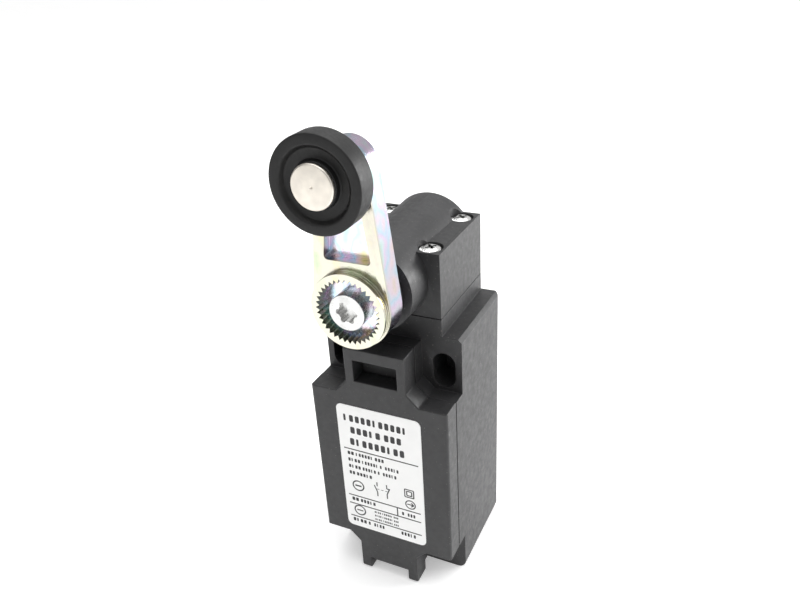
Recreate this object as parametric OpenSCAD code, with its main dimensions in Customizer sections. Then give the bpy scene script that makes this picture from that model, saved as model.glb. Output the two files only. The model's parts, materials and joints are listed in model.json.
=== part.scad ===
// Roller-lever limit switch in a plastic case with a hinged front cover.
// Millimetres. X runs to the right, the cover faces -Y and +Z points up.
// The origin is the centre of the four mounting holes on the rear face.

/* [Case] */
// Width of the case, left to right
case_w = 40; // [38:1:56]
// Height of the case from its foot to the shoulders beside the neck
case_h = 79; // [76:1:110]
// Depth from the rear mounting face to the front of the cover
case_d = 40.3; // [39.5:0.1:56]
// Thickness of the case walls and of the rim under the cover
case_wall = 2.6; // [2.4:0.1:3]
// How far the mounting corners are set back behind the cover's seam
corner_step = 4.3; // [3:0.1:5]
// Height of the two upper mounting corners, below the shoulders
upper_corner_h = 16.1; // [15.5:0.1:18]
// Height of the two lower mounting corners, above the foot
lower_corner_h = 13; // [12.5:0.5:16]
// Radius of the long edges at the foot
foot_round = 2.5; // [1:0.1:3]
// Radius of the upright edges at the rear
rear_round = 1.5; // [0.8:0.1:2.5]
// Chamfer along the shoulders
shoulder_chamfer = 1; // [0.5:0.1:1.5]

/* [Mounting holes] */
// Radius of each mounting hole
mount_hole_r = 2.65; // [2.1:0.05:2.8]
// From the side of the case to a hole's centre
mount_side = 5; // [4.6:0.1:6]
// From the shoulder down to the upper pair of holes
mount_top = 10; // [9:0.1:11]
// From the foot up to the lower pair of holes
mount_foot = 9; // [8:0.1:10]
// Width of the slot-shaped pocket in front of each upper hole
slot_w = 6.2; // [5.6:0.1:6.8]
// Height of that pocket
slot_h = 10.3; // [7:0.1:10.5]
// Depth of that pocket
slot_depth = 9; // [4:0.5:14]

/* [Cable entry] */
// Radius of the cable entry in the foot, an M20 thread's core
entry_r = 9.25; // [7:0.05:9.4]
// Chamfer at the mouth of the cable entry
entry_chamfer = 0.8; // [0.4:0.1:1.2]

/* [Cover] */
// Thickness of the cover at its sides
cover_t = 6.5; // [5:0.1:8]
// Thickness of the cover's front wall
cover_skin = 2.3; // [1.8:0.1:3]
// Visible gap between the cover and the case, and under the head
seam_gap = 0.25; // [0.05:0.05:0.3]
// Width of the latch tab at the top
tab_w = 17.5; // [15:0.5:19]
// Drop from the case's shoulder to the latch tab's top
tab_drop = 1.8; // [1:0.1:3]
// 45 degree chamfer where the latch tab meets the cover's shoulders
tab_chamfer = 3.4; // [2:0.1:4]
// Width of the latch window
window_w = 12.5; // [10:0.5:13]
// Height of the latch window
window_h = 6.3; // [5:0.1:7]
// Tab left above the latch window
window_drop = 3.5; // [2.5:0.1:4]
// How far the latch nose reaches into the window
nose_reach = 1.6; // [1:0.1:2.5]
// Clearance between the latch nose and the window
nose_gap = 0.3; // [0.2:0.05:0.5]
// Width across the two hinge legs
legs_w = 18.2; // [16:0.1:19]
// Thickness of each hinge leg
leg_t = 3; // [2.5:0.1:3.4]
// 45 degree chamfer above the hinge legs
leg_chamfer = 3.1; // [2:0.1:4]
// Height of the gap between the hinge legs
leg_notch = 4.3; // [4:0.1:5]

/* [Hinge] */
// From the front of the cover back to the hinge axis
hinge_back = 3.7; // [3.4:0.1:4]
// From the foot up to the hinge axis
hinge_up = 3.5; // [3.3:0.1:3.8]
// Radius of the trunnions
trunnion_r = 1.2; // [1:0.05:1.4]
// How far each trunnion reaches into its leg
trunnion_l = 1.8; // [1.2:0.1:2.2]
// Radius of the hinge tongue's round end
tongue_r = 2.4; // [2:0.1:2.5]
// Sideways gap between the tongue and each leg
tongue_gap = 0.3; // [0.2:0.05:0.5]
// Radial running clearance of the hinge and of every shaft and slide
running_fit = 0.05; // [0.02:0.01:0.09]

/* [Label] */
// Width of the rating label
label_w = 25; // [20:0.5:30]
// Height of the rating label
label_h = 43.2; // [30:0.1:43.6]
// Height of the label's lower edge above the cover's lower edge
label_rise = 3; // [2.8:0.1:5]
// Corner radius of the label
label_round = 1.7; // [1:0.1:3]
// Thickness of the label
label_t = 0.12; // [0.08:0.01:0.2]

/* [Head] */
// Width of the head block
head_w = 29.2; // [28:0.1:32]
// Height of the neck between the shoulders and the head
neck_h = 4.9; // [4:0.1:6]
// Height of the head block from the neck to its ledges
head_h = 18; // [16.5:0.1:20]
// How far the head's rear is in front of the mounting face
head_inset = 0.5; // [0.3:0.1:1]
// From the shoulders up to the lever shaft's axis
shaft_up = 15.2; // [14.6:0.1:18]
// Radius of the barrel at its rear end
barrel_back_r = 12.25; // [11.6:0.05:13]
// Radius of the barrel at its front end
barrel_front_r = 11.1; // [10:0.1:12]
// How far the barrel stands out in front of the head block
barrel_nose = 8.9; // [7:0.1:11]
// From the head block's edges to the screws' centres
head_screw_edge = 3.95; // [3.7:0.05:4.3]
// Radius of the head screws' heads
head_screw_head_r = 2.8; // [2.4:0.1:3]
// Radius of the head screws' threads
head_screw_r = 1.7; // [1.4:0.05:1.9]
// How far the screws reach into the case
head_screw_bite = 8.4; // [6:0.1:8.6]

/* [Lever] */
// Radius of the lever shaft in its front bearing
shaft_r = 4; // [3.4:0.1:4.9]
// Radius of the lever shaft in the cam and the rear bearing
shaft_back_r = 2.6; // [2.2:0.1:2.8]
// Wall thickness of the bearing bushes
bush_wall = 1.9; // [1:0.1:2]
// Gap between the barrel and the lever
lever_gap = 3.6; // [2.5:0.1:5]
// Distance from the shaft's axis to the roller's axis
lever_l = 33.4; // [30:0.1:60]
// Thickness of the lever's arm
arm_t = 6.5; // [5.8:0.1:8]
// Radius of the lever's hub
hub_r = 10.2; // [9.8:0.1:12.5]
// Radius of the lever's roller end
tip_r = 6.6; // [6:0.1:8]
// How far the toothed ring stands out of the arm
ring_rise = 2; // [1:0.1:3]
// Number of index teeth in the hub
teeth = 36; // [24:1:40]
// Outer radius of the index teeth
teeth_r = 8.4; // [8:0.1:9]
// Depth of the index teeth
teeth_depth = 1; // [0.6:0.1:1.2]
// Thickness of the web between the hub's two toothed recesses
web_t = 1.7; // [1.4:0.1:2.4]
// Depth of the toothed recess at the rear
rear_recess = 3.2; // [2.5:0.1:3.6]
// Depth of the pocket in the arm's front
pocket_depth = 2.6; // [1.5:0.1:3.5]
// Width of the rails beside the pocket
rail_w = 2.9; // [2.2:0.1:3.2]
// Radius of the lever screw's head
lever_screw_head_r = 4.6; // [4:0.1:5]
// Radius of the lever screw's thread
lever_screw_r = 2.5; // [2:0.1:2.6]

/* [Roller] */
// Radius of the roller
roller_r = 11; // [9:0.5:25]
// Thickness of the roller
roller_t = 5.45; // [5:0.05:8]
// Length of the boss that holds the roller off the arm
boss_l = 4.7; // [3:0.1:8]
// Radius of the roller pin's shank
pin_r = 3; // [2.5:0.1:3.6]
// Radius of the roller pin's head
pin_head_r = 5.1; // [4.6:0.1:6]

/* [Plunger and cam] */
// Largest radius of the cam
cam_r = 5.8; // [5.4:0.1:6]
// Distance from the shaft's axis to the cam's flat
cam_flat = 3.2; // [3.1:0.1:3.6]
// Length of the cam along the shaft
cam_l = 6.2; // [4:0.1:6.6]
// Clearance between the turning cam and the plunger
cam_gap = 0.3; // [0.2:0.05:0.5]
// Working stroke of the plunger and of the contacts
stroke = 2.6; // [1.5:0.1:2.6]
// Radius of the plunger's saddle
saddle_r = 5.6; // [5:0.1:5.8]
// Radius of the plunger's stem
stem_r = 2; // [1.5:0.1:2.4]
// Depth of the spring well in the neck
well_depth = 7.9; // [7:0.1:8.2]

/* [Contact block] */
// Width of the contact block
block_w = 31; // [30.6:0.1:32]
// Height of the contact block
block_h = 31; // [31:0.5:36]
// Depth of the contact block
block_d = 21; // [20.6:0.1:22]
// Radius of the contact block's fixing screws
block_screw_r = 1.5; // [1.25:0.05:1.6]
// Radius of the terminal screws
terminal_screw_r = 1.75; // [1.5:0.05:1.75]

/* [Hidden] */

$fn = 64;
eps = 0.01; // overlap of a cut with the face it opens
loose = 0.1; // gap between pieces that are only laid together
thread_fit = 0.03; // gap between a screw's thread and its tapped hole

// Case
half_w = case_w / 2;
mount_x = half_w - mount_side;
mount_z = (case_h - mount_top - mount_foot) / 2;
foot_z = -mount_z - mount_foot;
top_z = foot_z + case_h;
upper_ledge_z = top_z - upper_corner_h;
lower_ledge_z = foot_z + lower_corner_h;
front_y = -case_d;
seam_y = front_y + cover_t;
corner_y = seam_y + corner_step;
cavity_x = half_w - case_wall;
cavity_low = lower_ledge_z + case_wall;
cavity_high = upper_ledge_z - case_wall;
gasket_w = case_wall / 2;
gasket_edge = (case_wall - gasket_w) / 2;
gasket_t = 1;

// Cover
cover_shoulder_z = upper_ledge_z + 0.3;
tab_z = top_z - tab_drop;
window_high = tab_z - window_drop;
window_low = window_high - window_h;
hinge_y = front_y + hinge_back;
hinge_z = foot_z + hinge_up;
leg_swing = corner_y - hinge_y - 0.6; // turns clear of the case's front wall
leg_inner = legs_w / 2 - leg_t;

// Head
neck_z = top_z + neck_h;
head_z = neck_z + seam_gap;
ledge_z = neck_z + head_h;
axis_z = top_z + shaft_up;
head_back = -head_inset;
stem_y = (head_back + corner_y) / 2;
screw_x = head_w / 2 - head_screw_edge;
screw_dy = (head_back - corner_y) / 2 - head_screw_edge;
screw_head_h = 2.2;
screw_dome = 0.6; // height of the sloping rim of a screw's head
screw_head_top = ledge_z + 0.15;
screw_seat_z = screw_head_top - screw_head_h;
screw_room = 0.45; // gap around a screw's head
screw_tip_z = neck_z - head_screw_bite;
barrel_y = corner_y - barrel_nose;
room_half = 6; // half the length of the cam's room along the shaft
room_x = 7; // half the width of the cam's room
room_up = 6.5; // height of the cam's room above the shaft's axis
bush_r = shaft_r + running_fit + bush_wall;
back_bush_r = shaft_back_r + running_fit + bush_wall;
bush_l = 10;
seal_l = 2.4;
back_bore_l = 5.4;
shaft_tip_y = stem_y + room_half + back_bore_l - 0.6;
head_gasket_r = 9.6;
head_gasket_w = 1.4;

// Lever and roller
lever_y = barrel_y - lever_gap;
arm_y = lever_y - arm_t;
ring_y = arm_y - ring_rise;
web_back_y = lever_y - rear_recess;
web_front_y = web_back_y - web_t;
shaft_end_y = web_front_y + 0.5;
washer_t = 1;
washer_r = max(lever_screw_head_r - 0.1, shaft_r + 0.5); // covers the shaft's hole in the web
washer_y = web_front_y - washer_t;
lever_screw_y = ring_y - 0.3;
tooth_play = 0.15;
boss_r = 5;
boss_y = arm_y - boss_l;
roller_y = boss_y - 0.15;
roller_front_y = roller_y - roller_t;
pin_seat_y = roller_front_y - loose;
pin_head_t = 0.9;
roller_z = axis_z + lever_l;
rivet_r = 4.2;
rivet_t = 0.9;

// Plunger
saddle_top = axis_z - cam_r - cam_gap;
saddle_t = 2;
well_z = neck_z - well_depth;
well_r = saddle_r + 0.8;
button_top = cavity_high - 0.8;
spring_low = well_z;
spring_high = saddle_top - saddle_t;
plunger_seal_z = (cavity_high + well_z) / 2;
plunger_seal_r = stem_r + 1.6;
plunger_seal_h = 2;
clip_t = 0.7;
clip_y = stem_y + cam_l / 2 + 0.3 + clip_t;

// Contact block, measured from its own foot and from the plunger's axis
block_top = button_top - 1.5;
block_z = block_top - block_h;
block_back = block_d / 2;
block_half = block_w / 2;
block_wall = 2;
chamber_x = 8.4; // half the width of the contact chamber
chamber_back = 4.6;
chamber_top = block_h - block_wall;
cover_plate_t = 1.4;
plate_seat = 0.4; // ledge around the chamber that the cover plate rests on
bridge_x = 8;
bridge_t = 0.8;
bridge_half = 2;
contact_x = 6.8;
contact_r = 1.1;
contact_t = 0.8;
strip_t = 1;
strip_in = 5.3;
strip_out = 10.8;
strip_back = 1.6;
plate_x = 9.6;
plate_t = 1.2;
plate_half = 3.2;
plate_y = -3.6;
recess_in = 9.4;
terminal_x = block_half - 2.6;
contact_play = 0.02; // gap left where two contacts touch
button_r = 2.4;
carriage_x = 3.4;
carriage_half = 4.2;
carriage_low = 8.5;
carriage_top = chamber_top - 0.5;
nc_row = block_h - 6.5;
no_row = 6.5;
nc_bridge_z = nc_row - 1.5;
nc_strip_z = nc_bridge_z + bridge_t + 2 * contact_t + contact_play;
no_strip_z = no_row - 0.7;
no_bridge_z = no_strip_z + strip_t + 2 * contact_t + stroke + contact_play;
window_half = bridge_half + 0.2;
nc_window = [nc_bridge_z - 3.1, nc_bridge_z + bridge_t + 0.3];
no_window = [no_bridge_z - 0.1, no_bridge_z + bridge_t + 4.1];
guide_z = [no_bridge_z + bridge_t + 2.7, nc_bridge_z - stroke - 0.9];
guide_gap = 0.2;
fix_z = (nc_row + no_row) / 2;
fix_x = block_half - 2.7;
fix_boss_r = 3.4;
fix_head_r = 2.5;
fix_head_t = 1.8;

// ---- helpers ----

// A block between two opposite corners
module between(low, high) {
    translate(low) cube(high - low);
}

// A bar along Y through [x, z], from its rear end to its front end
module bar_y(at, back, front, r) {
    translate([at.x, back, at.y]) rotate([90, 0, 0]) cylinder(h = back - front, r = r);
}

// An upright bar through [x, y]
module bar_z(at, low, high, r) {
    translate([at.x, at.y, low]) cylinder(h = high - low, r = r);
}

// A flat outline in X and Z, given thickness from its rear face to its front face
module slab(back, front) {
    translate([0, back, 0]) rotate([90, 0, 0]) linear_extrude(back - front) children();
}

// A rectangle with round corners
module round_rect(w, h, r) {
    square([w - 2 * r, h], center = true);
    square([w, h - 2 * r], center = true);
    for (sx = [-1, 1], sy = [-1, 1])
        translate([sx * (w / 2 - r), sy * (h / 2 - r)]) circle(r);
}

// A ring of triangular teeth
function tooth_points(count, outer, depth) =
    [for (i = [0 : 2 * count - 1])
        let (a = i * 180 / count, r = outer - (i % 2) * depth) [r * sin(a), r * cos(a)]];

// A round wire wound into a coil, from z = 0 up to the given length
module coil(r, wire_r, length, turns, sides = 8, per_turn = 20) {
    rings = turns * per_turn;
    rise = (length - 2 * wire_r) / rings;
    lean = atan(rise * per_turn / (2 * PI * r));
    points = [for (i = [0 : rings], j = [0 : sides - 1])
        let (a = i * 360 / per_turn, b = j * 360 / sides,
             out = r + wire_r * cos(b), side = wire_r * sin(b))
        [out * cos(a) + side * sin(lean) * sin(a),
         out * sin(a) - side * sin(lean) * cos(a),
         wire_r + i * rise + side * cos(lean)]];
    walls = [for (i = [0 : rings - 1], j = [0 : sides - 1])
        let (k = (j + 1) % sides)
        [i * sides + j, i * sides + k, (i + 1) * sides + k, (i + 1) * sides + j]];
    start = [for (j = [sides - 1 : -1 : 0]) j];
    end = [for (j = [0 : sides - 1]) rings * sides + j];
    polyhedron(points, concat(walls, [start, end]));
}

// ---- case ----

// Front view of the case behind the mounting corners
module case_outline() {
    c = shoulder_chamfer;
    r = foot_round;
    polygon([[-half_w, foot_z + r], [half_w, foot_z + r], [half_w, top_z - c],
             [half_w - c, top_z], [c - half_w, top_z], [-half_w, top_z - c]]);
    translate([-half_w + r, foot_z]) square([case_w - 2 * r, 2 * r]);
    for (s = [-1, 1]) translate([s * (half_w - r), foot_z + r]) circle(r);
}

// Front view of the rim and of the cover, without the hinge legs
module rim_outline(shoulder) {
    t = tab_w / 2;
    c = tab_chamfer;
    polygon([[-half_w, lower_ledge_z], [half_w, lower_ledge_z], [half_w, shoulder],
             [t + c, shoulder], [t, shoulder + c], [t, tab_z],
             [-t, tab_z], [-t, shoulder + c], [-t - c, shoulder], [-half_w, shoulder]]);
}

// Plan view that rounds the case's rear edges
module plan_outline() {
    r = rear_round;
    translate([-half_w, seam_y]) square([case_w, -seam_y - r]);
    translate([-half_w + r, -2 * r]) square([case_w - 2 * r, 2 * r]);
    for (s = [-1, 1]) translate([s * (half_w - r), -r]) circle(r);
}

// The band that the cover gasket fills, grown by the given gap
module gasket_band(gap) {
    high = upper_ledge_z - gasket_edge;
    low = lower_ledge_z + gasket_edge;
    w = case_w - 2 * gasket_edge;
    translate([0, (high + low) / 2]) difference() {
        square([w + 2 * gap, high - low + 2 * gap], center = true);
        square([w - 2 * gasket_w - 2 * gap, high - low - 2 * gasket_w - 2 * gap], center = true);
    }
}

module mounting_holes() {
    for (sx = [-1, 1], sz = [-1, 1])
        bar_y([sx * mount_x, sz * mount_z], eps, corner_y - eps, mount_hole_r);
    straight = slot_h - slot_w;
    for (sx = [-1, 1]) translate([sx * mount_x, 0, mount_z]) {
        between([-slot_w / 2, corner_y - eps, -straight / 2],
                [slot_w / 2, corner_y + slot_depth, straight / 2]);
        for (sz = [-1, 1])
            bar_y([0, sz * straight / 2], corner_y + slot_depth, corner_y - eps, slot_w / 2);
    }
}

module hinge_tongue() {
    side = leg_inner - tongue_gap;
    translate([-side, hinge_y, hinge_z]) rotate([0, 90, 0]) cylinder(h = 2 * side, r = tongue_r);
    between([-side, hinge_y, hinge_z - tongue_r], [side, corner_y + eps, hinge_z + tongue_r]);
    reach = leg_inner + trunnion_l;
    translate([-reach, hinge_y, hinge_z]) rotate([0, 90, 0]) cylinder(h = 2 * reach, r = trunnion_r);
}

module base_housing() {
    color("#3b3b3d") difference() {
        union() {
            intersection() {
                union() {
                    slab(0, corner_y) case_outline();
                    slab(corner_y + eps, seam_y) rim_outline(upper_ledge_z);
                }
                translate([0, 0, foot_z - 1]) linear_extrude(case_h + 2) plan_outline();
            }
            between([-head_w / 2, corner_y, top_z - eps], [head_w / 2, head_back + 0.2, neck_z]);
            // latch nose
            between([-window_w / 2 + nose_gap, seam_y - nose_reach, window_low + nose_gap],
                    [window_w / 2 - nose_gap, seam_y + eps, window_high - nose_gap]);
            hinge_tongue();
        }
        difference() {
            between([-cavity_x, seam_y - eps, cavity_low], [cavity_x, -case_wall, cavity_high]);
            for (s = [-1, 1])
                bar_y([s * fix_x, block_z + fix_z], 0, stem_y + block_back, fix_boss_r);
        }
        slab(seam_y + gasket_t, seam_y - eps) gasket_band(loose / 2);
        mounting_holes();
        for (s = [-1, 1])
            bar_y([s * fix_x, block_z + fix_z], -0.8, stem_y + block_back - eps, block_screw_r + thread_fit);
        // cable entry with a chamfered mouth
        bar_z([0, stem_y], foot_z - eps, cavity_low + eps, entry_r);
        translate([0, stem_y, foot_z - eps])
            cylinder(h = entry_chamfer, r1 = entry_r + entry_chamfer, r2 = entry_r);
        // plunger guide, its seal's groove and the spring well
        bar_z([0, stem_y], cavity_high - eps, well_z + eps, stem_r + running_fit);
        bar_z([0, stem_y], plunger_seal_z, plunger_seal_z + plunger_seal_h, plunger_seal_r);
        bar_z([0, stem_y], well_z, neck_z + eps, well_r);
        // head gasket's groove
        difference() {
            bar_z([0, stem_y], neck_z - 0.9, neck_z + eps, head_gasket_r + loose / 2);
            bar_z([0, stem_y], neck_z - 1, neck_z + 1, head_gasket_r - head_gasket_w - loose / 2);
        }
        for (sx = [-1, 1], sy = [-1, 1])
            bar_z([sx * screw_x, stem_y + sy * screw_dy], screw_tip_z - 0.5, neck_z + eps,
                  head_screw_r + thread_fit);
    }
}

module cover_gasket() {
    color("#222222") slab(seam_y + gasket_t - loose / 2, seam_y - seam_gap) gasket_band(0);
}

// ---- cover ----

// One hinge leg seen from the side, in Y and Z
module leg_profile() {
    top = lower_ledge_z - 0.2;
    intersection() {
        union() {
            translate([front_y, hinge_z]) square([seam_y - seam_gap - front_y, top - hinge_z]);
            translate([hinge_y, hinge_z]) circle(leg_swing);
        }
        union() {
            translate([front_y, hinge_z]) square([case_d, top - hinge_z]);
            translate([front_y + 1, foot_z]) square([hinge_back + tongue_r - 1, hinge_up + 1]);
            translate([front_y + 1, foot_z + 1]) circle(1);
            translate([front_y, foot_z + 1]) square([hinge_back, hinge_up]);
        }
    }
}

module front_cover() {
    legs = legs_w / 2;
    back = seam_y - seam_gap;
    pad_t = 0.7; // thin front apron that hides the hinge tongue
    color("#3b3b3d") difference() {
        union() {
            slab(back, front_y) rim_outline(cover_shoulder_z);
            // chamfered root of the hinge legs
            slab(back, front_y)
                polygon([[-legs - leg_chamfer, lower_ledge_z + eps], [legs + leg_chamfer, lower_ledge_z + eps],
                         [legs, lower_ledge_z - leg_chamfer], [-legs, lower_ledge_z - leg_chamfer]]);
            for (s = [-1, 1]) translate([s > 0 ? leg_inner : -legs, 0, 0])
                rotate([90, 0, 90]) linear_extrude(leg_t) leg_profile();
            between([-leg_inner - eps, front_y, foot_z + leg_notch],
                    [leg_inner + eps, front_y + pad_t, lower_ledge_z]);
            between([-leg_inner - eps, front_y, hinge_z + tongue_r + 0.5],
                    [leg_inner + eps, back, lower_ledge_z]);
        }
        // hollow inside
        between([-cavity_x + 0.2, front_y + cover_skin, cavity_low + 0.4],
                [cavity_x - 0.2, back + eps, cavity_high - 0.4]);
        // latch window
        between([-window_w / 2, front_y - eps, window_low], [window_w / 2, back + eps, window_high]);
        // blind trunnion seats
        seat = leg_inner + trunnion_l + 0.2;
        translate([-seat, hinge_y, hinge_z]) rotate([0, 90, 0])
            cylinder(h = 2 * seat, r = trunnion_r + running_fit);
    }
}

module rating_label() {
    color("#f4f4f2") translate([0, 0, lower_ledge_z + label_rise + label_h / 2])
        slab(front_y, front_y - label_t) round_rect(label_w, label_h, label_round);
}

// ---- head ----

module head_casing() {
    step = barrel_back_r - barrel_front_r;
    color("#3b3b3d") difference() {
        union() {
            between([-head_w / 2, corner_y, head_z], [head_w / 2, head_back, ledge_z]);
            translate([0, head_back, axis_z]) rotate([90, 0, 0])
                cylinder(h = head_back - barrel_y, r1 = barrel_back_r, r2 = barrel_front_r);
        }
        // the barrel stops at the neck, and hangs below it only in front
        between([-barrel_back_r - 1, corner_y - seam_gap, neck_z - barrel_back_r],
                [barrel_back_r + 1, head_back + eps, head_z]);
        // room for the cam and the saddle
        between([-room_x, stem_y - room_half, head_z - eps],
                [room_x, stem_y + room_half, axis_z + room_up]);
        // bearing bores
        bar_y([0, axis_z], stem_y, barrel_y - eps, shaft_r + 0.3);
        bar_y([0, axis_z], barrel_y + bush_l + seal_l + loose, barrel_y - eps, bush_r + 0.02);
        bar_y([0, axis_z], stem_y + room_half + back_bore_l, stem_y, back_bush_r + 0.02);
        for (sx = [-1, 1], sy = [-1, 1]) {
            at = [sx * screw_x, stem_y + sy * screw_dy];
            bar_z(at, head_z - eps, ledge_z + eps, head_screw_r + 0.2);
            bar_z(at, screw_seat_z, axis_z + barrel_back_r, head_screw_head_r + screw_room);
        }
    }
}

module head_gasket() {
    color("#222222") difference() {
        bar_z([0, stem_y], neck_z - 0.9, head_z, head_gasket_r);
        bar_z([0, stem_y], neck_z - 1, head_z + 1, head_gasket_r - head_gasket_w);
    }
}

module head_screws() {
    color("#c9cacc") for (sx = [-1, 1], sy = [-1, 1])
        translate([sx * screw_x, stem_y + sy * screw_dy, 0]) difference() {
            union() {
                bar_z([0, 0], screw_seat_z, screw_head_top - screw_dome + eps, head_screw_head_r);
                translate([0, 0, screw_head_top - screw_dome])
                    cylinder(h = screw_dome, r1 = head_screw_head_r, r2 = head_screw_head_r - 2 * screw_dome);
                bar_z([0, 0], screw_tip_z, screw_seat_z + eps, head_screw_r);
            }
            for (a = [45, 135]) rotate(a)
                translate([0, 0, screw_head_top - 0.5]) cube([3, 0.8, 1.4], center = true);
        }
}

module front_bush() {
    color("#b08d57") difference() {
        bar_y([0, axis_z], barrel_y + bush_l, barrel_y, bush_r);
        bar_y([0, axis_z], barrel_y + bush_l + 1, barrel_y - 1, shaft_r + running_fit);
    }
}

module rear_bush() {
    color("#b08d57") difference() {
        bar_y([0, axis_z], stem_y + room_half + back_bore_l - 0.1, stem_y + room_half, back_bush_r);
        bar_y([0, axis_z], 0, stem_y, shaft_back_r + running_fit);
    }
}

module shaft_seal() {
    color("#222222") difference() {
        bar_y([0, axis_z], barrel_y + bush_l + seal_l, barrel_y + bush_l, bush_r);
        bar_y([0, axis_z], 0, barrel_y, shaft_r + running_fit);
    }
}

// ---- lever ----

module lever_shaft() {
    step_y = stem_y - cam_l / 2 - 0.2;
    color("#a9abad") difference() {
        union() {
            bar_y([0, axis_z], step_y, shaft_end_y, shaft_r);
            bar_y([0, axis_z], shaft_tip_y, step_y - eps, shaft_back_r);
        }
        // tapped hole for the lever screw
        bar_y([0, axis_z], shaft_end_y + 13, shaft_end_y - eps, lever_screw_r + thread_fit);
        // driving flat for the cam
        between([shaft_back_r * 0.8, step_y, axis_z - shaft_r], [shaft_r + 1, clip_y - clip_t - 0.3, axis_z + shaft_r]);
        // groove for the clip
        difference() {
            bar_y([0, axis_z], clip_y + 0.05, clip_y - clip_t - 0.05, shaft_back_r + 1);
            bar_y([0, axis_z], 0, stem_y, shaft_back_r * 0.8);
        }
    }
}

module shaft_clip() {
    color("#8c8f92") difference() {
        bar_y([0, axis_z], clip_y, clip_y - clip_t, shaft_back_r + 1.5);
        bar_y([0, axis_z], 0, stem_y, shaft_back_r * 0.8 + 0.05);
        translate([0, clip_y, axis_z]) rotate([90, 0, 0]) linear_extrude(5, center = true)
            polygon([[-1.6, 0], [1.6, 0], [3, 6], [-3, 6]]);
    }
}

module cam() {
    back = stem_y + cam_l / 2;
    front = stem_y - cam_l / 2;
    color("#c2c4c6") difference() {
        bar_y([0, axis_z], back, front, cam_r);
        difference() {
            bar_y([0, axis_z], back + 1, front - 1, shaft_back_r + 0.02);
            between([shaft_back_r * 0.8 + 0.02, front - 2, axis_z - cam_r],
                    [cam_r, back + 2, axis_z + cam_r]);
        }
        between([-cam_r - 1, front - 1, axis_z - cam_r - 1], [cam_r + 1, back + 1, axis_z - cam_flat]);
    }
}

module drive_collar() {
    back = barrel_y - 0.4;
    color("#1f1f20") difference() {
        union() {
            bar_y([0, axis_z], back, lever_y, hub_r - 1.2);
            translate([0, 0, axis_z]) slab(lever_y + eps, web_back_y + loose)
                polygon(tooth_points(teeth, teeth_r - tooth_play, teeth_depth));
        }
        bar_y([0, axis_z], back + 1, web_back_y, shaft_r + 0.02);
    }
}

// Outline of the arm: a hub circle and a tip circle joined by their tangents
module arm_outline(hub, tip) {
    a = asin((hub - tip) / lever_l);
    circle(hub);
    translate([0, lever_l]) circle(tip);
    polygon([[hub * cos(a), hub * sin(a)], [tip * cos(a), lever_l + tip * sin(a)],
             [-tip * cos(a), lever_l + tip * sin(a)], [-hub * cos(a), hub * sin(a)]]);
}

// The arm's pocket, which keeps an even rail beside it
module pocket_outline() {
    low = hub_r + 1.7;
    high = lever_l - boss_r - 2;
    slope = (hub_r - tip_r) / lever_l;
    w_low = hub_r - slope * low - rail_w;
    w_high = hub_r - slope * high - rail_w;
    hull() for (s = [-1, 1]) {
        translate([s * (w_low - 1), low + 1]) circle(1, $fn = 24);
        translate([s * (w_high - 1), high - 1]) circle(1, $fn = 24);
    }
}

module lever_arm() {
    groove = 0.45;
    color("#d8cfae") difference() {
        union() {
            translate([0, 0, axis_z]) slab(lever_y, arm_y) arm_outline(hub_r, tip_r);
            bar_y([0, axis_z], arm_y + eps, ring_y, hub_r - groove);
            bar_y([0, roller_z], arm_y + eps, boss_y, boss_r);
        }
        // fine groove around the toothed ring
        difference() {
            bar_y([0, axis_z], ring_y + 1.2, ring_y + 0.8, hub_r + 1);
            bar_y([0, axis_z], ring_y + 2, ring_y, hub_r - 2 * groove);
        }
        translate([0, 0, axis_z]) {
            slab(arm_y + pocket_depth, arm_y - eps) pocket_outline();
            slab(web_front_y, ring_y - eps) polygon(tooth_points(teeth, teeth_r, teeth_depth));
            slab(lever_y + eps, web_back_y) polygon(tooth_points(teeth, teeth_r, teeth_depth));
        }
        bar_y([0, axis_z], web_back_y + 1, web_front_y - 1, shaft_r + running_fit);
        bar_y([0, roller_z], lever_y + 1, boss_y - 1, pin_r + 0.02);
        bar_y([0, roller_z], lever_y + eps, lever_y - rivet_t - loose, rivet_r + loose);
    }
}

module lock_washer() {
    color("#b9bbbd") difference() {
        bar_y([0, axis_z], web_front_y, washer_y, washer_r);
        bar_y([0, axis_z], web_front_y + 1, washer_y - 1, lever_screw_r + 0.2);
    }
}

// A six-lobed driver recess
module six_lobes(r) {
    circle(r * 0.8);
    for (i = [0 : 5]) rotate(i * 60) translate([r * 0.8, 0]) circle(r * 0.24);
}

module lever_screw() {
    color("#cfd0d2") difference() {
        union() {
            bar_y([0, axis_z], washer_y, lever_screw_y, lever_screw_head_r);
            bar_y([0, axis_z], shaft_end_y + 12, washer_y - eps, lever_screw_r);
        }
        translate([0, 0, axis_z]) slab(lever_screw_y + 1.8, lever_screw_y - eps) six_lobes(2.7);
    }
}

module roller() {
    rim = 2; // width of the outer rim
    hub = pin_head_r + 0.6; // radius of the hub left standing around the pin's head
    dish = 1.3; // depth of the dish between them
    color("#2c2c2e") difference() {
        bar_y([0, roller_z], roller_y, roller_front_y, roller_r);
        for (face = [roller_front_y + dish, roller_y + eps]) difference() {
            bar_y([0, roller_z], face, face - dish - eps, roller_r - rim);
            bar_y([0, roller_z], face + 1, face - dish - 1, hub);
        }
        bar_y([0, roller_z], roller_y + 1, roller_front_y - 1, pin_r + running_fit);
    }
}

module roller_pin() {
    color("#cdc6bb") {
        bar_y([0, roller_z], lever_y - rivet_t, pin_seat_y - eps, pin_r);
        bar_y([0, roller_z], lever_y, lever_y - rivet_t, rivet_r);
        bar_y([0, roller_z], pin_seat_y, pin_seat_y - pin_head_t, pin_head_r);
    }
}

// ---- plunger ----

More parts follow.
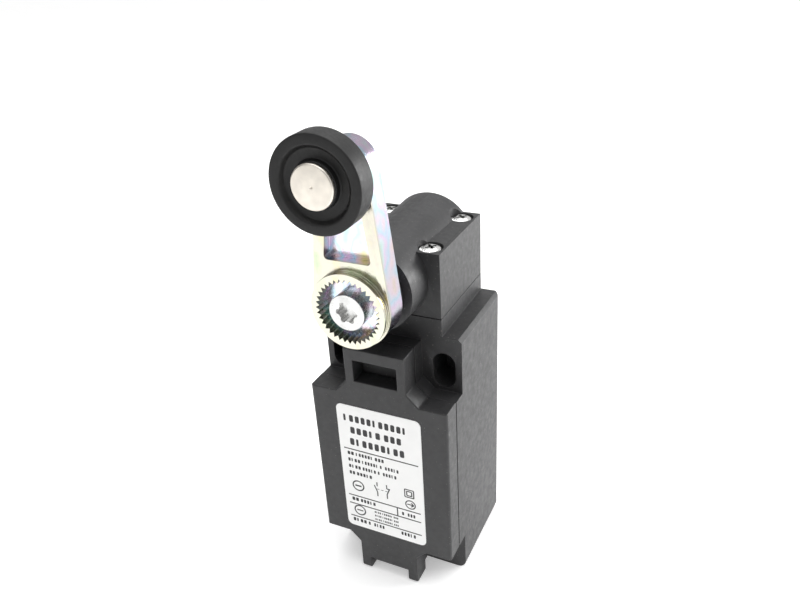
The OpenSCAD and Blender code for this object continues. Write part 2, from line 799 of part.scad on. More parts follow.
module plunger() {
    color("#e3ded2") {
        bar_z([0, stem_y], saddle_top - saddle_t, saddle_top, saddle_r);
        bar_z([0, stem_y], button_top + contact_play, saddle_top - saddle_t + eps, stem_r);
    }
}

module plunger_seal() {
    color("#222222") difference() {
        bar_z([0, stem_y], plunger_seal_z + loose, plunger_seal_z + plunger_seal_h - loose,
              plunger_seal_r - running_fit);
        bar_z([0, stem_y], cavity_high, well_z, stem_r + running_fit);
    }
}

module return_spring() {
    color("#b4b7ba") translate([0, stem_y, spring_low])
        coil(r = stem_r + 1.8, wire_r = 0.45, length = spring_high - spring_low, turns = 5);
}

// ---- contact block ----

// Children are placed in the block's own frame
module in_block() {
    translate([0, stem_y, block_z]) children();
}

module contact_block() {
    color("#55585c") in_block() difference() {
        between([-block_half, -block_back, 0], [block_half, block_back, block_h]);
        // contact chamber, with guide ribs left standing beside the carriage
        difference() {
            between([-chamber_x, -block_back - eps, block_wall], [chamber_x, chamber_back, chamber_top]);
            for (s = [-1, 1]) scale([s, 1, 1]) between(
                [carriage_x + guide_gap, -block_back + cover_plate_t + loose, guide_z[0]],
                [chamber_x + eps, chamber_back + eps, guide_z[1]]);
        }
        between([-chamber_x - plate_seat, -block_back - eps, block_wall - plate_seat],
                [chamber_x + plate_seat, -block_back + cover_plate_t, chamber_top + plate_seat]);
        bar_z([0, 0], chamber_top - eps, block_h + eps, button_r + running_fit);
        for (s = [-1, 1]) {
            bar_y([s * fix_x, fix_z], block_back + eps, -block_back - eps, block_screw_r + 0.1);
            for (row = [[nc_row, nc_strip_z], [no_row, no_strip_z]]) {
                // terminal recess, open to the side and the front
                scale([s, 1, 1]) between([recess_in, -block_back - eps, row[0] - plate_half - 0.3],
                                         [block_half + eps, plate_y + loose / 2, row[0] + plate_half + 0.3]);
                // slot for the contact strip
                scale([s, 1, 1]) between([chamber_x - eps, -block_back - eps, row[1] - 0.05],
                                         [strip_out + loose, strip_back + loose, row[1] + strip_t + 0.05]);
                bar_y([s * terminal_x, row[0]], -1, plate_y, terminal_screw_r + 0.2);
            }
        }
    }
}

module block_cover() {
    edge = plate_seat - loose;
    color("#c8ccd0") in_block()
        between([-chamber_x - edge, -block_back, block_wall - edge],
                [chamber_x + edge, -block_back + cover_plate_t, chamber_top + edge]);
}

module contact_carriage() {
    color("#d9d4c6") in_block() difference() {
        union() {
            between([-carriage_x, -carriage_half, carriage_low], [carriage_x, carriage_half, carriage_top]);
            bar_z([0, 0], carriage_top - eps, block_h + 1.5, button_r);
        }
        for (w = [nc_window, no_window])
            between([-carriage_x - 1, -window_half, w[0]], [carriage_x + 1, window_half, w[1]]);
    }
}

// A bridge with a contact at each end, above (side = 1) or below (side = -1)
module bridge(z, side) {
    in_block() {
        between([-bridge_x, -bridge_half, z], [bridge_x, bridge_half, z + bridge_t]);
        low = side > 0 ? z + bridge_t - eps : z - contact_t;
        for (s = [-1, 1]) bar_z([s * contact_x, 0], low, low + contact_t + eps, contact_r);
    }
}

module nc_bridge() {
    color("#c08a4a") bridge(nc_bridge_z, 1);
}

module no_bridge() {
    color("#c08a4a") bridge(no_bridge_z, -1);
}

module bridge_springs() {
    color("#b4b7ba") in_block() {
        translate([0, 0, nc_window[0]])
            coil(r = 1.3, wire_r = 0.2, length = nc_bridge_z - nc_window[0], turns = 4, sides = 6, per_turn = 16);
        translate([0, 0, no_bridge_z + bridge_t])
            coil(r = 1.3, wire_r = 0.2, length = no_window[1] - no_bridge_z - bridge_t,
                 turns = 5, sides = 6, per_turn = 16);
    }
}

module carriage_spring() {
    color("#b4b7ba") in_block() translate([0, 0, block_wall])
        coil(r = 2.2, wire_r = 0.3, length = carriage_low - block_wall, turns = 5, sides = 6, per_turn = 20);
}

// One terminal: side is 1 on the right, contact is 1 where its contact faces up
module terminal(side, row, strip, contact) {
    in_block() scale([side, 1, 1]) difference() {
        union() {
            between([strip_in, plate_y - plate_t, strip], [strip_out, strip_back, strip + strip_t]);
            between([plate_x, plate_y - plate_t, row - plate_half], [block_half - 0.2, plate_y, row + plate_half]);
            low = contact > 0 ? strip + strip_t - eps : strip - contact_t;
            bar_z([contact_x, 0], low, low + contact_t + eps, contact_r);
        }
        bar_y([terminal_x, row], plate_y + 1, plate_y - plate_t - 1, terminal_screw_r + thread_fit);
    }
}

module nc_terminal_left() {
    color("#c9a24f") terminal(-1, nc_row, nc_strip_z, -1);
}

module nc_terminal_right() {
    color("#c9a24f") terminal(1, nc_row, nc_strip_z, -1);
}

module no_terminal_left() {
    color("#c9a24f") terminal(-1, no_row, no_strip_z, 1);
}

module no_terminal_right() {
    color("#c9a24f") terminal(1, no_row, no_strip_z, 1);
}

// Children are placed at each terminal screw
module at_terminals() {
    for (s = [-1, 1], row = [nc_row, no_row])
        translate([s * terminal_x, stem_y + plate_y - plate_t, block_z + row]) children();
}

module clamp_plates() {
    w = 2.45;
    color("#b9bbbd") at_terminals() difference() {
        between([-w, -1.1, -w], [w, -loose, w]);
        bar_y([0, 0], 1, -2, terminal_screw_r + 0.1);
    }
}

module terminal_screws() {
    head_back = -1.2;
    head_front = -3.2;
    color("#cfd0d2") at_terminals() difference() {
        union() {
            bar_y([0, 0], 3.4, head_back - eps, terminal_screw_r);
            bar_y([0, 0], head_back, head_front, 2.4);
        }
        between([-3, head_front - eps, -0.35], [3, head_front + 0.9, 0.35]);
    }
}

module block_screws() {
    front = stem_y - block_back;
    color("#cfd0d2") for (s = [-1, 1]) translate([s * fix_x, 0, block_z + fix_z]) difference() {
        union() {
            bar_y([0, 0], front, front - fix_head_t, fix_head_r);
            bar_y([0, 0], -1, front - eps, block_screw_r);
        }
        for (a = [0, 90]) rotate([0, a, 0])
            between([-1.6, front - fix_head_t - eps, -0.35], [1.6, front - fix_head_t + 1, 0.35]);
    }
}

base_housing();
front_cover();
rating_label();
cover_gasket();
head_casing();
head_gasket();
head_screws();
front_bush();
rear_bush();
shaft_seal();
lever_shaft();
shaft_clip();
cam();
drive_collar();
lever_arm();
lock_washer();
lever_screw();
roller();
roller_pin();
plunger();
plunger_seal();
return_spring();
contact_block();
block_cover();
contact_carriage();
nc_bridge();
no_bridge();
bridge_springs();
carriage_spring();
nc_terminal_left();
nc_terminal_right();
no_terminal_left();
no_terminal_right();
terminal_screws();
clamp_plates();
block_screws();
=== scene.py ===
"""Looks of a roller-lever limit switch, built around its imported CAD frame."""

import json
import logging
import math
from dataclasses import dataclass, field
from enum import Enum
from typing import Callable, Iterable, Sequence

import bmesh
import bpy
from mathutils import Matrix, Vector


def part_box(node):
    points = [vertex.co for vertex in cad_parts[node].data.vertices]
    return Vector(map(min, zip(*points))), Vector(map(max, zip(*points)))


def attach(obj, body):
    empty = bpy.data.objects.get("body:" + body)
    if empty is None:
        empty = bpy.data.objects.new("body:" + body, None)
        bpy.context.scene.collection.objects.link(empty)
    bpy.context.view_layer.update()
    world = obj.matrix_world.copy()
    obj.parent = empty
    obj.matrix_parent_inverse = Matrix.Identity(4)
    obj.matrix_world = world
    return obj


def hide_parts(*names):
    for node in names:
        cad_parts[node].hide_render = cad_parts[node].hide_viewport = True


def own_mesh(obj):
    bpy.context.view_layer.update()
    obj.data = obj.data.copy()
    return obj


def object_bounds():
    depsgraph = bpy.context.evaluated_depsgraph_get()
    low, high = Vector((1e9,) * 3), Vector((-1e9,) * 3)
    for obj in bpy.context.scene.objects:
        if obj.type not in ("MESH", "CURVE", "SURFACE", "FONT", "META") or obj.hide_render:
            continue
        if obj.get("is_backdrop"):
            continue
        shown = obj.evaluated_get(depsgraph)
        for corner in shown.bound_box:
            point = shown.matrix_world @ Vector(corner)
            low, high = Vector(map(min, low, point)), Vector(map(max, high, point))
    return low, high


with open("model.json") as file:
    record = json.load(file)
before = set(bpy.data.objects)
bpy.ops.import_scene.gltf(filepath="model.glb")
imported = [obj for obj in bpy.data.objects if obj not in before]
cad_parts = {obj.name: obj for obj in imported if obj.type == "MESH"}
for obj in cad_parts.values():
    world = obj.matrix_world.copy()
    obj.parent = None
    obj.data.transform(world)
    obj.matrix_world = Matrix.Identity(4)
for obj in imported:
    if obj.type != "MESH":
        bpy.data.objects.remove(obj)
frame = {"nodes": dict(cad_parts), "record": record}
CAD_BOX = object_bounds()

MM = 0.001
LOG = logging.getLogger("limit_switch")

# Noise from Blender's texture lies mostly between these two values.
NOISE_LOW, NOISE_HIGH = 0.3, 0.7
# Width of one ring of the wave texture at a scale of 1.
RING_WIDTH = 0.31
# Edges sharper than this are rounded.
ROUNDED_DEG = 35.0
# Edges sharper than this break the smooth shading.
CREASE_DEG = 32.0
# Facets flatter than this join into one face, and corners nearer than this weld.
FLAT_DEG = 0.6
WELD_M = 2e-7

Colour = tuple[float, float, float]
Point2 = tuple[float, float]
Point3 = tuple[float, float, float]
Socket = bpy.types.NodeSocket
FillMesh = Callable[[bmesh.types.BMesh], None]
EdgeShare = Callable[[Vector, Vector], float]


class Body(str, Enum):
    """Rigid bodies that the new pieces ride on."""

    CASE = "case"
    COVER = "cover"
    LEVER = "lever"
    ROLLER = "roller"


# ---------------------------------------------------------------- finishes


class Wiring:
    """A material's node tree while it is being wired."""

    def __init__(self, name: str) -> None:
        """Starts a material with one Principled shader.

        Args:
            name: Name of the material.
        """
        self.material = bpy.data.materials.new(name)
        self.material.use_nodes = True
        self.tree = self.material.node_tree
        self.shader = self.tree.nodes["Principled BSDF"]
        self.place = self.add("ShaderNodeTexCoord").outputs["Object"]

    def add(self, kind: str, **settings: object) -> bpy.types.Node:
        """Adds a node.

        Args:
            kind: Blender's name for the node's type.
            **settings: Attributes to set on the node.

        Returns:
            The new node.
        """
        node = self.tree.nodes.new(kind)
        for key, value in settings.items():
            setattr(node, key, value)
        return node

    def join(self, source: Socket, target: Socket) -> None:
        """Links two sockets."""
        self.tree.links.new(source, target)

    def noise(self, size_mm: float, detail: float = 3.0, stretch: Sequence[float] = (1, 1, 1)) -> Socket:
        """Adds noise in the piece's own space.

        Args:
            size_mm: Size of one patch of the noise.
            detail: Octaves of finer noise.
            stretch: How much longer the patches are along X, Y and Z.

        Returns:
            The noise's value.
        """
        space = self.add("ShaderNodeMapping")
        self.join(self.place, space.inputs["Vector"])
        space.inputs["Scale"].default_value = [1 / (size_mm * MM * s) for s in stretch]
        noise = self.add("ShaderNodeTexNoise")
        self.join(space.outputs["Vector"], noise.inputs["Vector"])
        noise.inputs["Scale"].default_value = 1.0
        noise.inputs["Detail"].default_value = detail
        return noise.outputs["Fac"]

    def rings(self, centre: Vector, pitch_mm: float) -> Socket:
        """Adds concentric turning marks around an axis along Y.

        Args:
            centre: A point on the axis.
            pitch_mm: Distance between marks.

        Returns:
            The marks' height.
        """
        space = self.add("ShaderNodeMapping", vector_type="POINT")
        self.join(self.place, space.inputs["Vector"])
        space.inputs["Location"].default_value = (-centre.x, 0, -centre.z)
        flat = self.add("ShaderNodeVectorMath", operation="MULTIPLY")
        self.join(space.outputs["Vector"], flat.inputs[0])
        flat.inputs[1].default_value = (1, 0, 1)
        wave = self.add("ShaderNodeTexWave", wave_type="RINGS", rings_direction="SPHERICAL")
        self.join(flat.outputs["Vector"], wave.inputs["Vector"])
        wave.inputs["Scale"].default_value = RING_WIDTH / (pitch_mm * MM)
        wave.inputs["Distortion"].default_value = 0.6
        wave.inputs["Detail"].default_value = 1.0
        return wave.outputs["Fac"]

    def axis(self, direction: Socket, letter: str) -> Socket:
        """Picks one part of a direction or place.

        Args:
            direction: Socket with three parts.
            letter: X, Y or Z.

        Returns:
            That part.
        """
        parts = self.add("ShaderNodeSeparateXYZ")
        self.join(direction, parts.inputs["Vector"])
        return parts.outputs[letter]

    def ramp(self, value: Socket, stops: Iterable[tuple[float, Colour]]) -> Socket:
        """Turns a value into a colour.

        Args:
            value: Socket that drives the ramp.
            stops: Places from 0 to 1 and their colours, the two ends first.

        Returns:
            The colour.
        """
        ramp = self.add("ShaderNodeValToRGB")
        marks = ramp.color_ramp.elements
        for i, (place, colour) in enumerate(stops):
            mark = marks[i] if i < 2 else marks.new(place)
            mark.position = place
            mark.color = (*colour, 1)
        self.join(value, ramp.inputs["Fac"])
        return ramp.outputs["Color"]

    def remap(self, value: Socket, source: Point2, target: Point2) -> Socket:
        """Maps one range of a value to another.

        Args:
            value: Socket to map.
            source: Lowest and highest value to read.
            target: What these two become.

        Returns:
            The mapped value.
        """
        remap = self.add("ShaderNodeMapRange")
        self.join(value, remap.inputs["Value"])
        remap.inputs["From Min"].default_value, remap.inputs["From Max"].default_value = source
        remap.inputs["To Min"].default_value, remap.inputs["To Max"].default_value = target
        return remap.outputs["Result"]

    def mix(self, share: Socket, first: Socket, second: Socket) -> Socket:
        """Mixes two colours.

        Args:
            share: How much of the second shows.
            first: The first colour.
            second: The second colour.

        Returns:
            The mixed colour.
        """
        mix = self.add("ShaderNodeMix", data_type="RGBA")
        self.join(share, mix.inputs["Factor"])
        self.join(first, mix.inputs["A"])
        self.join(second, mix.inputs["B"])
        return mix.outputs["Result"]

    def mottled(self, patches: Socket, colour: Colour, dark: float, light: float) -> Socket:
        """Spreads one colour into darker and lighter patches.

        Args:
            patches: Noise that places the patches.
            colour: The colour.
            dark: Factor for the darkest patches.
            light: Factor for the lightest patches.

        Returns:
            The mottled colour.
        """
        return self.ramp(patches, [(NOISE_LOW, tint(colour, dark)), (NOISE_HIGH, tint(colour, light))])

    def colour(self, source: Socket) -> None:
        """Feeds the shader's colour."""
        self.join(source, self.shader.inputs["Base Color"])

    def gloss(self, patches: Socket, smoothest: float, roughest: float) -> None:
        """Lets noise vary the shader's roughness between two values."""
        self.join(self.remap(patches, (NOISE_LOW, NOISE_HIGH), (smoothest, roughest)),
                  self.shader.inputs["Roughness"])

    def relief(self, layers: Iterable[tuple[Socket, float, float]]) -> None:
        """Stacks bumps on the shader's normal.

        Args:
            layers: Each bump's height socket, depth in mm and strength.
        """
        last = None
        for height, depth_mm, strength in layers:
            bump = self.add("ShaderNodeBump")
            bump.inputs["Distance"].default_value = depth_mm * MM
            bump.inputs["Strength"].default_value = strength
            self.join(height, bump.inputs["Height"])
            if last:
                self.join(last, bump.inputs["Normal"])
            last = bump.outputs["Normal"]
        if last:
            self.join(last, self.shader.inputs["Normal"])

    def set(self, **values: object) -> None:
        """Sets the shader's own sockets, named with underscores for spaces."""
        for key, value in values.items():
            self.shader.inputs[key.replace("_", " ")].default_value = value


def tint(colour: Colour, factor: float) -> Colour:
    """Returns a colour made lighter or darker by a factor."""
    return tuple(min(1.0, c * factor) for c in colour)


@dataclass(frozen=True)
class Finish:
    """A surface finish: the name of its material and the name of a slot."""

    name: str
    slot: str

    def wire(self, w: Wiring) -> None:
        """Wires the finish's own nodes; each finish has its own."""
        raise NotImplementedError(self.name)

    def build(self) -> bpy.types.Material:
        """Builds the finish.

        Returns:
            Its material.
        """
        w = Wiring(self.name)
        self.wire(w)
        return w.material


@dataclass(frozen=True)
class MouldedPlastic(Finish):
    """Injection-moulded plastic with a fine spark-eroded grain."""

    colour: Colour
    roughness: float = 0.5
    grain_mm: float = 0.16
    grain_depth_mm: float = 0.012
    flow_mm: float = 9.0
    fleck: float = 1.35

    def wire(self, w: Wiring) -> None:
        """Wires flow marks, uneven gloss and the grain.

        Args:
            w: The material's wiring.
        """
        w.colour(w.mottled(w.noise(self.flow_mm, 4.0, (1, 1, 2.2)), self.colour, 0.86, self.fleck))
        w.gloss(w.noise(1.6), self.roughness - 0.06, self.roughness + 0.07)
        w.relief([(w.noise(self.grain_mm, 2.0), self.grain_depth_mm, 0.55),
                  (w.noise(6.0, 2.0), 0.03, 0.25)])
        w.set(IOR=1.52)


@dataclass(frozen=True)
class DustyPlastic(Finish):
    """Black moulded plastic that carries a few pale specks of dust."""

    colour: Colour
    roughness: float = 0.48
    dust: Colour = (0.12, 0.11, 0.1)
    dust_from: float = 0.715
    dust_edge: float = 0.04

    def wire(self, w: Wiring) -> None:
        """Wires flow marks, specks, uneven gloss and the grain.

        Args:
            w: The material's wiring.
        """
        body = w.mottled(w.noise(9.0, 4.0, (1, 1, 2.2)), self.colour, 0.85, 1.3)
        specks = w.ramp(w.noise(0.42, 1.0),
                        [(self.dust_from, (0, 0, 0)), (self.dust_from + self.dust_edge, (1, 1, 1))])
        mix = w.add("ShaderNodeMix", data_type="RGBA")
        w.join(specks, mix.inputs["Factor"])
        w.join(body, mix.inputs["A"])
        mix.inputs["B"].default_value = (*self.dust, 1)
        w.colour(mix.outputs["Result"])
        w.gloss(w.noise(1.6), self.roughness - 0.06, self.roughness + 0.08)
        w.relief([(w.noise(0.16, 2.0), 0.012, 0.6), (w.noise(7.0, 2.0), 0.03, 0.25)])
        w.set(IOR=1.52)


@dataclass(frozen=True)
class PassivatedZinc(Finish):
    """Die-cast zinc under a pale passivation: cream on raised faces, iridescent below them, with painted shade
    on walls.
    """

    raised_y_mm: float
    fade_mm: float = 1.0
    # Share of the film's colour that the painted shade leaves on walls, the faces that do not face along Y.
    wall_shade_share: float = 0.46
    roughness: float = 0.2

    def wire(self, w: Wiring) -> None:
        """Wires both films, painted shade that darkens the walls, uneven gloss and the cast skin.

        Args:
            w: The material's wiring.
        """
        low = w.ramp(w.noise(6.5, 2.0, (1, 1.4, 1.8)),
                     [(0.30, (0.50, 0.78, 0.68)), (0.72, (0.80, 0.74, 0.42)), (0.40, (0.76, 0.86, 0.90)),
                      (0.47, (0.88, 0.70, 0.90)), (0.54, (0.60, 0.80, 0.94)), (0.63, (0.90, 0.74, 0.82))])
        high = w.ramp(w.noise(5.0, 3.0, (1, 1, 1.6)),
                      [(0.30, (0.58, 0.66, 0.47)), (0.70, (0.76, 0.70, 0.44)), (0.45, (0.74, 0.74, 0.60)),
                       (0.58, (0.71, 0.67, 0.58))])
        raised = self.raised_y_mm * MM
        depth = w.remap(w.axis(w.place, "Y"), (raised, raised + self.fade_mm * MM), (0.0, 1.0))
        film = w.mix(depth, high, low)
        # Painted shade: faces whose normals lie across Y, the walls, are darkened; faces along Y keep the
        # film's colour.
        across = w.add("ShaderNodeMath", operation="ABSOLUTE")
        w.join(w.axis(w.add("ShaderNodeNewGeometry").outputs["True Normal"], "Y"), across.inputs[0])
        painted_wall_shade = w.add("ShaderNodeMix", data_type="RGBA", blend_type="MULTIPLY")
        painted_wall_shade.inputs["Factor"].default_value = 1.0
        w.join(film, painted_wall_shade.inputs["A"])
        w.join(w.ramp(across.outputs["Value"], [(0.2, (self.wall_shade_share,) * 3), (0.8, (1, 1, 1))]),
               painted_wall_shade.inputs["B"])
        w.colour(painted_wall_shade.outputs["Result"])
        w.gloss(w.noise(0.9, 4.0), self.roughness - 0.05, self.roughness + 0.07)
        w.relief([(w.noise(0.4, 4.0), 0.03, 0.5), (w.noise(2.6, 2.0, (1, 1, 2)), 0.1, 0.4)])
        w.set(Metallic=1.0)


@dataclass(frozen=True)
class Steel(Finish):
    """Bare or plated metal with drawn or rolled marks."""

    colour: Colour
    roughness: float = 0.25
    mark_mm: float = 0.25
    stretch: Point3 = (1.0, 1.0, 1.0)

    def wire(self, w: Wiring) -> None:
        """Wires a faint mottle, uneven gloss and the marks.

        Args:
            w: The material's wiring.
        """
        w.colour(w.mottled(w.noise(3.0, 3.0), self.colour, 0.85, 1.08))
        w.gloss(w.noise(self.mark_mm * 2, 3.0, self.stretch), self.roughness - 0.07, self.roughness + 0.12)
        w.relief([(w.noise(self.mark_mm, 3.0, self.stretch), 0.01, 0.3)])
        w.set(Metallic=1.0)


@dataclass(frozen=True)
class TurnedSteel(Finish):
    """Stainless steel faced on a lathe, with fine rings around its axis."""

    colour: Colour
    centre: Vector
    roughness: float = 0.36
    ring_mm: float = 0.16

    def wire(self, w: Wiring) -> None:
        """Wires a faint mottle, uneven gloss and the rings.

        Args:
            w: The material's wiring.
        """
        w.colour(w.mottled(w.noise(2.4, 4.0), self.colour, 0.88, 1.06))
        w.gloss(w.noise(0.6, 2.0), self.roughness - 0.06, self.roughness + 0.08)
        w.relief([(w.rings(self.centre, self.ring_mm), 0.006, 0.6), (w.noise(0.9, 3.0), 0.01, 0.3)])
        w.set(Metallic=1.0, Anisotropic=0.4)


@dataclass(frozen=True)
class TurnedPlastic(Finish):
    """Dense black plastic with a fine turned face."""

    colour: Colour
    centre: Vector
    ring_mm: float = 0.3

    def wire(self, w: Wiring) -> None:
        """Wires a faint mottle, uneven gloss, the rings and a grain.

        Args:
            w: The material's wiring.
        """
        w.colour(w.mottled(w.noise(5.0, 4.0), self.colour, 0.8, 1.3))
        w.gloss(w.noise(0.8, 3.0), 0.4, 0.54)
        w.relief([(w.rings(self.centre, self.ring_mm), 0.008, 0.4), (w.noise(0.2, 2.0), 0.008, 0.45)])
        w.set(IOR=1.42)


@dataclass(frozen=True)
class Rubber(Finish):
    """Matte black seal rubber."""

    colour: Colour = (0.018, 0.018, 0.019)

    def wire(self, w: Wiring) -> None:
        """Wires a faint mottle, a matte skin and a fine grain.

        Args:
            w: The material's wiring.
        """
        w.colour(w.mottled(w.noise(2.0), self.colour, 0.8, 1.5))
        w.gloss(w.noise(0.7), 0.68, 0.82)
        w.relief([(w.noise(0.12, 2.0), 0.01, 0.5)])


@dataclass(frozen=True)
class PrintedFilm(Finish):
    """White satin label film with a faint fibre."""

    colour: Colour

    def wire(self, w: Wiring) -> None:
        """Wires a faint mottle, a satin skin and the fibre.

        Args:
            w: The material's wiring.
        """
        w.colour(w.mottled(w.noise(4.0, 5.0), self.colour, 0.965, 1.0))
        w.gloss(w.noise(0.5), 0.34, 0.46)
        w.relief([(w.noise(0.35, 3.0), 0.004, 0.3)])


@dataclass(frozen=True)
class ClearPlastic(Finish):
    """Clear, slightly smoked plastic."""

    colour: Colour = (0.8, 0.83, 0.85)

    def wire(self, w: Wiring) -> None:
        """Wires a faint tint, a glossy skin and slow waves in it.

        Args:
            w: The material's wiring.
        """
        w.colour(w.mottled(w.noise(5.0), self.colour, 0.94, 1.0))
        w.gloss(w.noise(1.5), 0.08, 0.16)
        w.relief([(w.noise(3.0, 2.0), 0.01, 0.2)])
        w.set(Transmission_Weight=0.85, IOR=1.58)


# ---------------------------------------------------------------- mesh tools


def in_scene(name: str, mesh: bpy.types.Mesh) -> bpy.types.Object:
    """Puts a mesh into the scene.

    Args:
        name: Name of the new piece.
        mesh: Its mesh.

    Returns:
        The piece.
    """
    piece = bpy.data.objects.new(name, mesh)
    bpy.context.scene.collection.objects.link(piece)
    return piece


def mesh_piece(name: str, fill: FillMesh) -> bpy.types.Object:
    """Makes a piece from a function that fills a bmesh.

    Args:
        name: Name of the piece.
        fill: Fills the bmesh, in metres.

    Returns:
        The piece.
    """
    work = bmesh.new()
    fill(work)
    bmesh.ops.recalc_face_normals(work, faces=work.faces)
    mesh = bpy.data.meshes.new(name)
    work.to_mesh(mesh)
    work.free()
    return in_scene(name, mesh)


def band(work: bmesh.types.BMesh, here: Sequence[bmesh.types.BMVert],
         there: Sequence[bmesh.types.BMVert]) -> None:
    """Joins two closed rows of points by a band of faces.

    Args:
        work: The bmesh that holds the points.
        here: One row.
        there: The other, of the same length.
    """
    for k in range(len(here)):
        j = (k + 1) % len(here)
        work.faces.new((here[k], here[j], there[j], there[k]))


def smooth(piece: bpy.types.Object) -> None:
    """Shades a piece smooth except at its creases.

    Args:
        piece: The piece.
    """
    for face in piece.data.polygons:
        face.use_smooth = True
    piece.data.set_sharp_from_angle(angle=math.radians(CREASE_DEG))


def soften(piece: bpy.types.Object, width_mm: float, segments: int) -> None:
    """Rounds a piece's sharp edges.

    Args:
        piece: The piece.
        width_mm: Width of the rounding.
        segments: Steps across the rounding.
    """
    edge = piece.modifiers.new("soft edges", "BEVEL")
    edge.width = width_mm * MM
    edge.segments = segments
    edge.limit_method = "ANGLE"
    edge.angle_limit = math.radians(ROUNDED_DEG)
    edge.harden_normals = True


def softened_copy(node: str, width_mm: float, segments: int) -> bpy.types.Object:
    """Puts a piece of the same shape, with rounded edges, in a CAD node's place.

    Args:
        node: Name of the CAD node.
        width_mm: Width of the rounding.
        segments: Steps across the rounding.

    Returns:
        The new piece.
    """
    work = bmesh.new()
    work.from_mesh(frame["nodes"][node].data)
    bmesh.ops.remove_doubles(work, verts=work.verts, dist=WELD_M)
    bmesh.ops.dissolve_limit(work, angle_limit=math.radians(FLAT_DEG), verts=work.verts, edges=work.edges)
    mesh = bpy.data.meshes.new(node + "_soft")
    work.to_mesh(mesh)
    work.free()
    piece = in_scene(node + "_soft", mesh)
    smooth(piece)
    soften(piece, width_mm, segments)
    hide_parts(node)
    return piece


def weigh_edges(piece: bpy.types.Object, share: EdgeShare) -> None:
    """Gives each sharp edge its own share of the piece's rounding.

    Args:
        piece: A piece whose only modifier rounds its edges.
        share: Takes an edge's two ends and returns its share, from 0 to 1.
    """
    work = bmesh.new()
    work.from_mesh(piece.data)
    layer = work.edges.layers.float.new("bevel_weight_edge")
    for edge in work.edges:
        if len(edge.link_faces) == 2 and edge.calc_face_angle(0) > math.radians(ROUNDED_DEG):
            edge[layer] = share(edge.verts[0].co, edge.verts[1].co)
    work.to_mesh(piece.data)
    work.free()
    for bevel in piece.modifiers:
        bevel.limit_method = "WEIGHT"
        bevel.use_clamp_overlap = False


def rounded(points: Sequence[Point2], radius: float, steps: int = 4, closed: bool = True,
            reach: float = 0.45) -> list[Point2]:
    """Rounds the corners of an outline.

    Args:
        points: Corners of the outline.
        radius: Radius of the rounding.
        steps: Points along each rounding.
        closed: Whether the last corner joins the first.
        reach: Largest share of an edge that one rounding takes.

    Returns:
        The points of the rounded outline.
    """
    out: list[Point2] = []
    count = len(points)
    for i, corner in enumerate(points):
        if not closed and i in (0, count - 1):
            out.append(corner)
            continue
        here = Vector(corner)
        before, after = Vector(points[i - 1]) - here, Vector(points[(i + 1) % count]) - here
        cut = min(radius, before.length * reach, after.length * reach)
        start, end = here + before.normalized() * cut, here + after.normalized() * cut
        for k in range(steps + 1):
            t = k / steps
            p = start * (1 - t) ** 2 + here * 2 * t * (1 - t) + end * t ** 2
            out.append((p.x, p.y))
    return out


def turned(name: str, axis: Vector, profile: Sequence[Point2], sides: int) -> bpy.types.Object:
    """Turns a closed profile around an axis along Y.

    Args:
        name: Name of the piece.
        axis: A point on the axis, in metres.
        profile: Radius and Y of each point, in metres.
        sides: Steps around the axis.

    Returns:
        The piece.
    """
    def fill(work: bmesh.types.BMesh) -> None:
        """Fills the bmesh with one band of faces for each step.

        Args:
            work: The bmesh.
        """
        rows = []
        for i in range(sides):
            a = 2 * math.pi * i / sides
            rows.append([work.verts.new((axis.x + r * math.sin(a), y, axis.z + r * math.cos(a)))
                         for r, y in profile])
        for i in range(sides):
            band(work, rows[i], rows[(i + 1) % sides])

    piece = mesh_piece(name, fill)
    smooth(piece)
    return piece


def dress(piece: bpy.types.Object, material: bpy.types.Material) -> None:
    """Gives a piece one material."""
    piece.data.materials.clear()
    piece.data.materials.append(material)


class Finishes:
    """Builds each finish once and hands it out."""

    def __init__(self) -> None:
        """Starts with no material made."""
        self._made: dict[str, bpy.types.Material] = {}

    def get(self, finish: Finish) -> bpy.types.Material:
        """Hands out a finish's material, made on first use.

        Args:
            finish: The finish.

        Returns:
            Its material.
        """
        if finish.name not in self._made:
            self._made[finish.name] = finish.build()
        return self._made[finish.name]


@dataclass
class SubAssembly:
    """A group of pieces that are built and dressed together."""

    finishes: Finishes
    made: list[str] = field(default_factory=list, init=False)

    def keep(self, finish: Finish, *nodes: str) -> None:
        """Shows CAD nodes as they are, in a better material.

        Args:
            finish: The nodes' finish.
            *nodes: Names of the nodes.
        """
        material = self.finishes.get(finish)
        for node in nodes:
            piece = frame["nodes"][node]
            if piece.material_slots:
                for place in piece.material_slots:
                    place.material = material
            else:
                piece.data.materials.append(material)
            self.made.append(node)

    def soften_node(self, node: str, body: Body, finish: Finish, width_mm: float,
                    segments: int = 3) -> bpy.types.Object:
        """Replaces a CAD node by the same shape with rounded edges.

        Args:
            node: Name of the node.
            body: Body that it rides on.
            finish: Its finish.
            width_mm: Width of the rounding.
            segments: Steps across the rounding.

        Returns:
            The new piece.
        """
        return self.add(softened_copy(node, width_mm, segments), body, finish)

    def add(self, piece: bpy.types.Object, body: Body, finish: Finish) -> bpy.types.Object:
        """Dresses a piece and lets it ride on its body.

        Args:
            piece: The piece, in place at rest.
            body: Body that it rides on.
            finish: Its finish.

        Returns:
            The piece.
        """
        dress(piece, self.finishes.get(finish))
        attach(piece, body.value)
        self.made.append(piece.name)
        return piece


# ---------------------------------------------------------------- finishes in use

